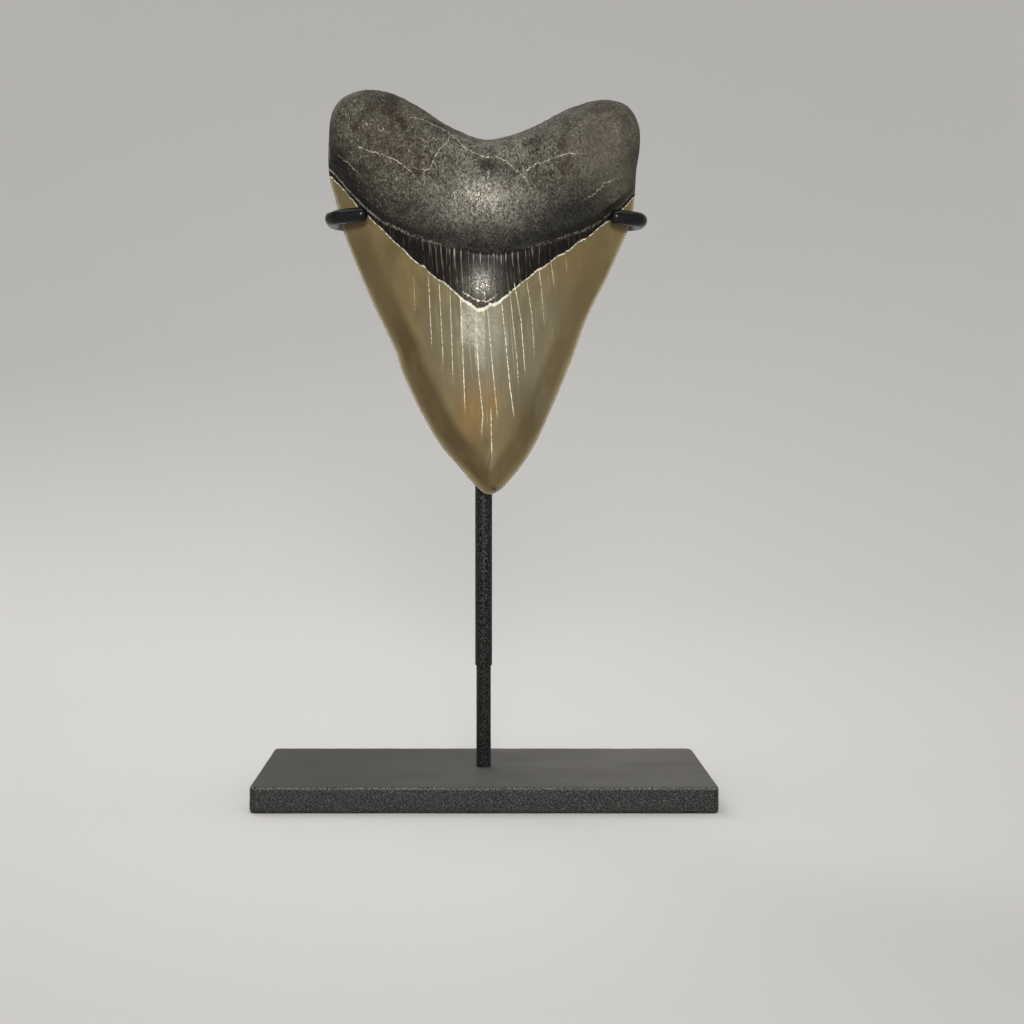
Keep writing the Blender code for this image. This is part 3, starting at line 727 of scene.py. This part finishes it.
def toothMaterial(look):
    # painted in layers; the mesh brings distances to the margins, the rim and the rim's plane
    board = Board("fossilTooth", look)
    noise, bell = board.noise, board.bell
    x, y, z = board.split(board.vector)
    crownMm, rootMm, edgeMm, depthMm = map(board.attribute, ("crownMm", "rootMm", "edgeMm", "depthMm"))
    front = depthMm.rise(0.4, -0.4)
    enamel = crownMm.rise(-0.15, 0.12)
    root = rootMm.rise(-0.9, 0.3)

    strokes = (1, 1, 0.75)  # marks a third taller than wide
    grain = noise(0.45, 3, 0.6)
    mottle = noise(0.6, 2, 0.6, 0.5, strokes)
    cloud = noise(8, 3, 0.55)
    worm = abs(noise(0.9, 1, 0.5, 1, strokes) - 0.5).rise(0.06, 0.008)
    curl = abs(noise(1.25, 2, 0.5, 1.4, strokes) - 0.5).rise(0.1, 0)
    # painted highlight: the bulge gets the pale polish colour where the light's reflection falls; it is also smoother
    # and partly metallic there
    polishAndHighlightSpot = bell((-0.5, 198.8), (16, 9.5)) * front
    clump = noise(3.2).rise(0.36, 0.58).most(0.9 * polishAndHighlightSpot)
    pattern = curl * (0.35 + 0.5 * clump) + mottle.rise(0.42, 0.72) * (0.3 + 0.3 * clump)

    # root: dark ground, paler mottling, flecks, painted shade towards its lower lip where it turns down, short
    # upright scratches; painted highlights in pale polish colour on the bulge and in pale grains along the left
    # shoulder's rim
    leftLobe, rightLobe = bell((-31, 219), (21, 14)), bell((42, 214), (14, 17))
    # painted shade: darker towards the lower lip, where the root turns down away from the light
    low = (rootMm - x.rise(0, 30, 0, 3.5)).rise(18, 4)
    for place, half, share in unshadedSpots:
        low = low * (1 - share * bell(place, half))
    slant = board.combine(x + 0.6 * z, y, (z - 0.6 * x) * 0.35)
    specks = noise(0.6, 1, at=slant).rise(0.66, 0.71)
    dense = (0.3 + 0.7 * leftLobe) * (1 - 0.6 * low) * noise(4).rise(0.42, 0.6, 0.15, 1)
    # painted highlight: pale grains along the rim of the left shoulder
    shoulderRimHighlight = edgeMm.rise(1, 0.6) * depthMm.rise(-3, -4) * x.rise(-42, -46) * z.rise(223, 218)
    scratch = noise(0.5, 1, 0.4, stretch=(1, 0.3, 0.12)).rise(0.68, 0.74)
    ground = board.paint(
        "rootRed",
        (cloud.rise(0.4, 0.56), "rootDark"),
        (pattern * cloud.rise(0.34, 0.54, 0.3, 1.05), "rootPale"),
        (worm * mottle.rise(0.35, 0.6) * cloud.rise(0.35, 0.6, 0.1, 0.5), "fleckAndHighlight"),
        (leftLobe * cloud.rise(0.3, 0.7) * 0.45, "rootWarm"),
        ((rightLobe * (0.5 + 0.8 * pattern)).least(1), "rootPale"),
        # painted shade towards the lower lip
        (low * 0.86, "rootLowShade"),
        (specks * dense, "fleckAndHighlight"),
        # painted highlights in pale polish colour: on the bulge and just under the middle of the top rim
        ((polishAndHighlightSpot * (0.14 + pattern)).least(1), "polishAndHighlight"),
        (bell((1, 217), (14, 5)) * pattern * 0.6, "polishAndHighlight"),
        (bell(ts["pit"][0], (3.4, 2.6)) * 0.7, "pitDark"),
        (shoulderRimHighlight * mottle.rise(0.35, 0.55) * 0.7, "fleckAndHighlight"),
        (scratch * bell((12, 205), (9, 8)) * 0.8, "fleckAndHighlight"))

    # lip of the root: painted highlights as pale bumps on a dark fold, and a painted highlight as a clear pale line
    # at the left shoulder
    lip = rootMm.rise(-0.7, -0.1) * rootMm.rise(0.9, 0.3)
    lipBumpsAndHighlights = lip * noise(0.7, 2, 0.6, stretch=strokes).rise(0.46, 0.6)
    patchy = noise(3.5).rise(0.35, 0.6)
    lipHighlightStrength = (x.rise(-8, -22, 0, 0.9) + x.rise(10, 22, 0, 0.45)) * (0.35 + 0.65 * patchy) * front
    dashes = rootMm.rise(-4, -2) * rootMm.rise(1, -0.6) * bell((0, 182), (15, 8))
    lipHighlightLine = rootMm.rise(-0.3, -0.05) * rootMm.rise(0.4, 0.15) * x.rise(-33, -37) * mottle.rise(0.36, 0.56) * front

    # collar: near black brown with thin upright pale threads, longest and brightest at the middle
    threadPitch = 2.1  # mm
    phase = (x + 0.05 * z) / threadPitch + 1.3 * noise(3, stretch=(1, 0, 0.12))
    threads = abs(phase.fraction() - 0.5).rise(0.09, 0.035)
    threads = threads * noise(2.2, stretch=(1, 1, 0.45)).rise(0.4, 0.58)
    between = abs((phase * 1.7).fraction() - 0.5).rise(0.13, 0.05)
    between = between * noise(3.1, stretch=(1, 1, 0.4)).rise(0.48, 0.62)
    threads = threads.most(between * 0.45)
    # painted highlight: pale polish colour on the collar's swelling, which is also smoother and partly metallic
    collarHighlightSwirl = bell((-0.8, 171), (6, 6)) * front
    band = board.paint(
        "collar",
        (noise(0.8, stretch=(1, 0, 0.1)).rise(0.38, 0.66) * 0.55, "collarBrown"),
        (front.rise(0.7, 0.2) * 0.7, "rootRed"),
        (threads * front * (0.2 + 0.7 * bell((-2, 172), (15, 14))), "collarThread"),
        (dashes * threads * 0.8, "fleckAndHighlight"),
        (collarHighlightSwirl * (0.25 + 0.75 * worm.most(curl)) * 0.58, "polishAndHighlight"))

    # enamel: tan and olive, the patches, darker flanks that are partly darker olive and partly painted shade where
    # the crown turns away from the light, and a pale rim that is partly paler thin enamel and partly painted
    # highlight
    streak = noise(1.4, 3, 0.6, stretch=(1, 0.5, 0.07))
    drift = noise(7, 3, 0.55, stretch=(1, 1, 0.5))
    # flanks: partly darker olive colour, partly painted shade where the crown turns away from the light
    flankOliveAndShade = edgeMm.rise(0.8, 2.7) * edgeMm.rise(10, 6)
    blotch = x.rise(-4, 8, 0.7, 0.3) + drift.rise(0.35, 0.58, 0, 0.55)
    flankOliveAndShade = flankOliveAndShade * x.rise(-4, -14, 0.75, 0.8) * blotch * z.rise(190, 150, 0.25, 1)
    # pale chalk colour with painted highlight between two cracks under the collar, longer on its right half: the
    # column where the enamel's reflection of the light falls
    chalkFoot = x.rise(-3.4, -2.6, 153.5, 146)
    chalkAndHighlight = x.rise(-8, -7.4) * x.rise(0.8, 0.1) * (z - chalkFoot).rise(-4, 3) * front
    curls = noise(1.9, 4, 0.65, 2).rise(0.38, 0.6)
    middle = bell((3, 156), (18, 30))
    # fine hair cracks that lean to the right going down
    lean = board.combine(x + 0.085 * z, 0, z / 80)
    hair = abs(noise(1.1, 1, 0.4, at=lean) - 0.5).rise(0.04, 0.008)
    hair = hair * bell((4, 158), (15, 22)) * noise(3, stretch=(1, 1, 0.3)).rise(0.42, 0.6) * front
    coat = board.paint(
        "olive",
        (drift.rise(0.3, 0.7), "tan"),
        *((bell(place, half) * front * share, colour) for place, half, colour, share in enamelPatches),
        (flankOliveAndShade.least(0.95), "darkOliveAndShade"),
        (bell((14.5, 129), (4.5, 12)) * 0.5, "darkOliveAndShade"),
        # pale rim along the cutting edges: partly paler thin enamel, partly painted highlight
        (edgeMm.rise(1, 0.35) * grain.rise(0.3, 0.6, 0.35, 0.85), "edgePaleAndHighlight"),
        # pale chalk colour and painted highlight in the column under the collar
        (chalkAndHighlight * (0.35 + 0.55 * curls), "chalkAndHighlight"),
        (chalkAndHighlight * curls * z.rise(146, 158) * 0.35, "margin"),
        (bell((3.4, 159), (3.2, 9)) * front * (0.4 + 0.35 * curls), "chalkAndHighlight"),
        (streak.rise(0.4, 0.75) * (0.06 + 0.16 * middle), "darkOliveAndShade"),
        (streak.rise(0.52, 0.78) * 0.2 * middle, "chalkAndHighlight"),
        (hair * 0.22, "crack"))

    # margin of the enamel: pale broken line, heavier at the middle
    chips = noise(0.8, 2, 0.6)
    middleMargin = bell((0.5, 164), (10, 7))
    width = 0.12 + 0.38 * middleMargin + (chips - 0.5)
    margin = (abs(crownMm - 0.12) - width).rise(0.1, -0.1) * front
    marginTone = chips.rise(0.3, 0.6, 0.4, 0.85) + 0.15 * middleMargin
    bare = 1 - enamel
    # the lip's painted highlights go over the root and the collar here
    colour = board.paint(
        band, (root, ground), ((lipBumpsAndHighlights * lipHighlightStrength).most(lipHighlightLine) * bare, "fleckAndHighlight"), (enamel, coat),
        (margin * marginTone, "margin"))

    # cracks: signed distance, strength and width come with the mesh
    jagged = noise(1.3, 3, 0.65) - 0.5
    for name in toothCracks:
        away, strength, wide = board.split(board.attribute(name, "Vector"))
        line = abs(away + (0.25 + 1.5 * bare) * jagged) - wide * (0.1 + 1.4 * chips)
        line = line.rise(0.07, -0.06) * strength * chips.rise(0.34, 0.6, 0.2, 1)
        colour = board.mix(line, colour, board.mix(root, "crack", "rootCrack"))

    # a dark split runs on from the longest crack, and the point is chipped
    split = abs(x - 0.28 * (z - 111) - 1.1).rise(0.28, 0.06) * z.rise(108.5, 110) * z.rise(117, 115.5) * front
    tipChip = bell((3.4, 104.5), (1.6, 1)) * front
    colour = board.paint(colour, (split * 0.75, "darkOliveAndShade"), (tipChip * grain.rise(0.35, 0.5) * 0.9, "pitDark"))

    # the handled spots shine; the root's marks stand in low relief
    below = 1 - root
    handled = (root * polishAndHighlightSpot).most(collarHighlightSwirl * below) * bare
    roughness = root * (0.55 + 0.12 * mottle) + below * 0.45 - 0.16 * handled
    roughness = roughness * bare + enamel * (0.3 + 0.12 * streak)
    relief = root * (0.8 - 0.4 * polishAndHighlightSpot) * (0.8 * worm + 0.9 * curl + 1.5 * mottle + 0.5 * grain)
    relief = relief + below * bare * (0.5 * threads + collarHighlightSwirl * (0.5 * worm + 0.8 * mottle) + 0.3 * grain)
    relief = relief + lipBumpsAndHighlights * 0.7 + enamel * streak * 0.08
    return board.finish(colour, roughness, relief, 0.16, **{
        "Specular IOR Level": 0.15, "Metallic": handled * (0.15 + 0.95 * pattern - 0.15 * below),
        "Coat Weight": enamel * 0.7, "Coat Roughness": 0.3, "Coat IOR": 1.4})


dress(tooth, toothMaterial(toothFinish), "tooth")
print("tooth finished")


# the stand's plate

plateShape = {
    "width": 152.4, "depth": 76.2, "thickness": 8.8,
    "edgeRadius": 1.1, "cornerRadius": 1.2,
    "waviness": 0.05,  # how far the painted edges stray
    "spacing": 1.2,
    "innerRings": (9, 3),  # insets of the flat faces' rings
}
plateFinish = {
    "sideDark": (12, 12, 12), "sidePale": (74, 74, 72), "sideSpeck": (140, 140, 136), "rimHighlightSpeck": (138, 138, 136),
    "topLeft": (63, 61, 58), "topRight": (99, 97, 92), "smudge": (66, 64, 60), "topSpeck": (140, 138, 130),
}


def roundedRectangle(halfX, halfY, radius, spacing):
    # ring of points: straight sides joined by quarter circles; the count doesn't depend on the radius
    turn = np.radians(np.linspace(0, 90, 7))
    ring = []
    for k, (sx, sy) in enumerate(((1, 1), (-1, 1), (-1, -1), (1, -1))):
        centre = np.array([sx * (halfX - radius), sy * (halfY - radius)])
        ring.append(centre + radius * np.c_[np.cos(turn + k * math.pi / 2), np.sin(turn + k * math.pi / 2)])
    points = []
    for k in range(4):
        after = ring[(k + 1) % 4][0]
        count = round((plateShape["width"] if k % 2 == 0 else plateShape["depth"]) / spacing)
        share = np.linspace(0, 1, count + 1)[1:-1, None]
        points += [ring[k], ring[k][-1] * (1 - share) + after * share]
    return np.vstack(points)


def makePlate(shape):
    # a profile of (inset, height), round the lower edge, up the side and round the upper edge
    r, tall = shape["edgeRadius"], shape["thickness"]
    turn = np.radians(np.linspace(0, 90, 7))
    lower = np.c_[r - r * np.sin(turn), r - r * np.cos(turn)]
    upper = np.c_[r - r * np.cos(turn), tall - r + r * np.sin(turn)]
    side = np.c_[np.zeros(5), np.linspace(r, tall - r, 7)[1:-1]]
    flat = shape["innerRings"]
    profile = np.vstack([[(inset, 0) for inset in flat], lower, side, upper, [(inset, tall) for inset in flat[::-1]]])
    rings = []
    for inset, height in profile:
        corner = max(shape["cornerRadius"] + r - inset, 0.3)
        ring = roundedRectangle(shape["width"] / 2 - inset, shape["depth"] / 2 - inset, corner, shape["spacing"])
        rings.append(np.c_[ring, np.full(len(ring), height)])
    rings = np.array(rings)
    px, py, pz = rings[..., 0], rings[..., 1], rings[..., 2]
    onEdge = (profile[:, 0] < 2)[:, None] & (pz > 0.5)
    stray = shape["waviness"] * (layeredNoise(px, py, pz, 3.0, 23, 3) - 1.0) * onEdge
    rings[..., 0] += stray * np.sign(px)
    rings[..., 1] += stray * np.sign(py)
    rings[..., 2] += stray * (pz > tall - r)
    number = ringNumbers(*rings.shape[:2])
    ends = [number[0, -2::-1].tolist(), number[-1, :-1].tolist()]
    return putMesh("standPlate", rings.reshape(-1, 3), gridFaces(number, flip=True) + ends, 50)


def plateMaterial(look, tall):
    # sandy sides, a smoother smudged top that is paler to the right, and a painted highlight along the rounded top
    # edge, broken into pale grains
    board = Board("platePaint", look)
    x, _, z = board.split(board.vector)
    top = z.rise(tall - 0.5, tall - 0.05)
    grains = board.noise(0.5, 3, 0.65)
    smudge = board.noise(16, 3, stretch=(0.5, 1, 1))
    bright = board.noise(0.45, 2, 0.6).rise(0.64, 0.72)
    side = board.paint("sideDark", (grains.rise(0.4, 0.66), "sidePale"), (bright * 0.75, "sideSpeck"))
    face = board.paint("topLeft", (x.rise(-60, 60), "topRight"),
                       (smudge.rise(0.35, 0.65) * 0.35, "smudge"), (bright * 0.2, "topSpeck"))
    # painted highlight along the rounded top edge, in pale grains
    rim = z.rise(tall - 1.3, tall - 0.7) * z.rise(tall - 0.1, tall - 0.6)
    colour = board.paint(side, (top, face), (rim * grains.rise(0.4, 0.6) * 0.55, "rimHighlightSpeck"))
    roughness = 0.62 + 0.2 * (smudge - 0.5) - (1 - top) * 0.12
    relief = grains * (1 - 0.75 * top) + 0.6 * board.noise(1.6) * (1 - top)
    return board.finish(colour, roughness, relief, 0.16, **{"Specular IOR Level": 0.25})


dress(makePlate(plateShape), plateMaterial(plateFinish, plateShape["thickness"]), "base_plate")
print("plate ready")


# the stand's post

postShape = {
    "rodRadius": 2.5, "sleeveRadius": 2.92, "sleeveFoot": 43.8, "cradleHeight": 194.5,
    "buried": 4.0,  # length of rod inside the plate
    "topAboveWire": 1.3, "footRound": 0.18, "topRound": 0.9,
    "sides": 64, "rodRows": 40, "sleeveRows": 90,
}
postFinish = {"dark": (3, 4, 4), "pale": (64, 65, 64)}


def closedRings(name, rings, smoothAngle=50):
    # skin over rings of points, each end closed by a pole at its ring's middle
    number = ringNumbers(*rings.shape[:2])
    points = np.vstack([rings.reshape(-1, 3), rings[0].mean(axis=0), rings[-1].mean(axis=0)])
    start, end = len(points) - 2, len(points) - 1
    faces = gridFaces(number, flip=True)
    faces += [[start, b, a] for a, b in zip(number[0, :-1].tolist(), number[0, 1:].tolist())]
    faces += [[end, a, b] for a, b in zip(number[-1, :-1].tolist(), number[-1, 1:].tolist())]
    return putMesh(name, points, faces, smoothAngle)


def roundedEnd(radius, height, fillet, upward):
    # quarter circle of profile points that rounds an end off
    turn = np.radians(np.linspace(0, 90, 5))
    r, h = radius - fillet + fillet * np.cos(turn), fillet * np.sin(turn)
    points = np.c_[r, height - fillet + h] if upward else np.c_[r, height + fillet - h][::-1]
    return points.tolist()


def makePost(shape, tall):
    # rod and sleeve: straight turned profiles, the sleeve's ends rounded off
    thin, wide, foot = shape["rodRadius"], shape["sleeveRadius"], shape["sleeveFoot"]
    top = shape["cradleHeight"] + shape["topAboveWire"]
    rodHeights = [tall - shape["buried"], *np.linspace(10, foot + 4, shape["rodRows"])]
    rod = [(thin, height) for height in rodHeights]
    sleeve = [(wide, height) for height in np.linspace(foot + 1, top - 1, shape["sleeveRows"])]
    ends = roundedEnd(wide, foot, shape["footRound"], False), roundedEnd(wide, top, shape["topRound"], True)
    sleeve = ends[0] + sleeve + ends[1]
    return [closedRings(name, turnedRings(np.array(profile), shape["sides"]))
            for name, profile in (("postRod", rod), ("postSleeve", sleeve))]


def postMaterial(look):
    # fine pale grains in black paint
    board = Board("postPaint", look)
    grains, blots = board.noise(0.5, 2, 0.6), board.noise(3.0)
    colour = board.mix(grains.rise(0.43, 0.67), "dark", "pale")
    return board.finish(colour, 0.3 + 0.16 * blots, grains + 0.4 * blots, 0.1, **{"Specular IOR Level": 0.1})


postPaint = postMaterial(postFinish)
rod, sleeve = makePost(postShape, plateShape["thickness"])
dress(rod, postPaint, "post_rod")
dress(sleeve, postPaint, "post_sleeve")
print("post ready")


# the cradle: one bent wire with a sheath over each arm

cradleShape = {
    "height": postShape["cradleHeight"], "wireRadius": 1.6, "sheathRadius": 2.45,
    "rearBend": 6.5, "hookBend": 4.2,
    "leftElbow": (-50.6, -15.8, 194.8), "leftTip": (-40.7, -18.0, 195.5),
    "rightElbow": (52.2, -14.6, 194.2), "rightTip": (44.0, -16.6, 194.9),
    "sheathStart": 36.0,
    "boreGap": 0.08, "boreDepth": 2.0, "boreEnd": 0.8,  # between wire and sheath, at the open mouth
    "wireSides": 24, "sheathSides": 40, "spacing": 0.7,
    "brazeWidth": 4.4, "brazeOverPost": 0.15, "brazeHeight": 2.35, "brazeDrop": 0.4,  # half sizes
}
tubingFinish = {"dark": (5, 5, 6), "film": (13, 13, 14), "dust": (50, 50, 50)}


def roundedRoute(corners, radii, steps=24):
    # straight runs, each inner corner replaced by an arc of its radius
    corners = [Vector(c) for c in corners]
    route = [corners[0]]
    for before, corner, after, radius in zip(corners, corners[1:], corners[2:], radii):
        back, ahead = (before - corner).normalized(), (after - corner).normalized()
        half = back.angle(ahead) / 2
        centre = corner + (back + ahead).normalized() * (radius / math.sin(half))
        start = corner + back * (radius / math.tan(half)) - centre
        end = corner + ahead * (radius / math.tan(half)) - centre
        axis, sweep = start.cross(end).normalized(), start.angle(end)
        route += [centre + Matrix.Rotation(sweep * k / steps, 3, axis) @ start for k in range(steps + 1)]
    return np.array([tuple(p) for p in route + [corners[-1]]])


def alongRoute(route, distances):
    # points of the route at distances along it, and beyond its start in a straight line
    onRoute = pointsAt(route, runningLength(route), distances)
    return onRoute + np.maximum(-distances, 0)[:, None] * unit(route[0] - route[1])


def ringsAlong(points, tangents, radii, sides):
    # circles square to a nearly level path: one axis level, the other square to it and the path
    level = unit(np.cross(tangents, (0, 0, 1.0)))
    upright = np.cross(level, tangents)
    angle = np.linspace(0, 2 * math.pi, sides, endpoint=False)[None, :, None]
    circle = np.cos(angle) * level[:, None] + np.sin(angle) * upright[:, None]
    return points[:, None] + np.asarray(radii)[:, None, None] * circle


def armRoute(shape, side):
    # from the tip before the tooth round the elbow, back past the shoulder and in to the post
    elbow = shape[side + "Elbow"]
    rear, middle = (elbow[0], 0.0, shape["height"]), (0.0, 0.0, shape["height"])
    return roundedRoute([shape[side + "Tip"], elbow, rear, middle], [shape["hookBend"], shape["rearBend"]])


def makeWire(shape):
    # round wire along both arms, joined at the post
    left, right = armRoute(shape, "left"), armRoute(shape, "right")
    route = np.vstack([left[:-1], right[::-1][1:]])
    length = runningLength(route)[-1]
    distances = np.linspace(0, length, round(length / shape["spacing"]))
    points = alongRoute(route, distances)
    tangents = unit(np.gradient(points, axis=0))
    radii = np.full(len(distances), shape["wireRadius"])
    return closedRings("cradleWire", ringsAlong(points, tangents, radii, shape["wireSides"]))


def makeSheath(name, shape, side):
    # outside from the blunt round end to the open mouth, over its lip and a little way back up the bore
    route = armRoute(shape, side)
    radius, bore = shape["sheathRadius"], shape["wireRadius"] + shape["boreGap"]
    mouth = runningLength(route)[-1] - shape["sheathStart"]
    turn = np.radians(np.linspace(4, 90, 12))
    cap = np.c_[-radius * 0.92 * np.cos(turn), radius * np.sin(turn) ** 0.8]
    body = np.linspace(0.5, mouth - 0.4, round(mouth / shape["spacing"]))
    turn = np.radians(np.linspace(0, 180, 7))
    middle, half = (radius + bore) / 2, (radius - bore) / 2
    lip = np.c_[mouth - 0.35 + half * np.sin(turn), middle + half * np.cos(turn)]
    inner = mouth - shape["boreDepth"]
    walk = np.vstack([cap, np.c_[body, np.full(len(body), radius)], lip, [(inner, bore), (inner, shape["boreEnd"])]])
    points = alongRoute(route, walk[:, 0])
    tangents = unit(alongRoute(route, walk[:, 0] + 0.2) - alongRoute(route, walk[:, 0] - 0.2))
    return closedRings(name, ringsAlong(points, tangents, walk[:, 1], shape["sheathSides"]))


def makeBraze(shape, post):
    # lumpy bead where the wire crosses the post's top: a squashed ball swollen by noise
    u = np.linspace(0.04, math.pi - 0.04, 40)[:, None]
    v = np.linspace(0, 2 * math.pi, 56, endpoint=False)[None]
    ball = np.stack([np.sin(u) * np.cos(v), np.sin(u) * np.sin(v), np.cos(u) * np.ones_like(v)], axis=-1)
    swell = 1 + 0.1 * layeredNoise(*np.moveaxis(ball * 4, -1, 0), 2.2, 61, 3)
    size = np.array([shape["brazeWidth"], post["sleeveRadius"] + shape["brazeOverPost"], shape["brazeHeight"]])
    rings = ball[::-1] * swell[::-1, :, None] * size + np.array([0, 0, shape["height"] - shape["brazeDrop"]])
    return closedRings("brazeBead", rings)


def tubingMaterial(look):
    # black, a faint film and a little dust
    board = Board("blackTubing", look)
    film = board.noise(4.0, 3)
    dust = board.noise(0.5, 2, 0.6).rise(0.62, 0.8)
    colour = board.paint("dark", (film, "film"), (dust * 0.2, "dust"))
    return board.finish(colour, 0.22 + 0.12 * film, film, 0.04, **{"Specular IOR Level": 0.25})


tubing = tubingMaterial(tubingFinish)
dress(makeWire(cradleShape), postPaint, "cradle_wire")
dress(makeBraze(cradleShape, postShape), postPaint)
for side in ("left", "right"):
    dress(makeSheath(side + "HookSheath", cradleShape, side), tubing, side + "_hook_sheath")
print("cradle ready")
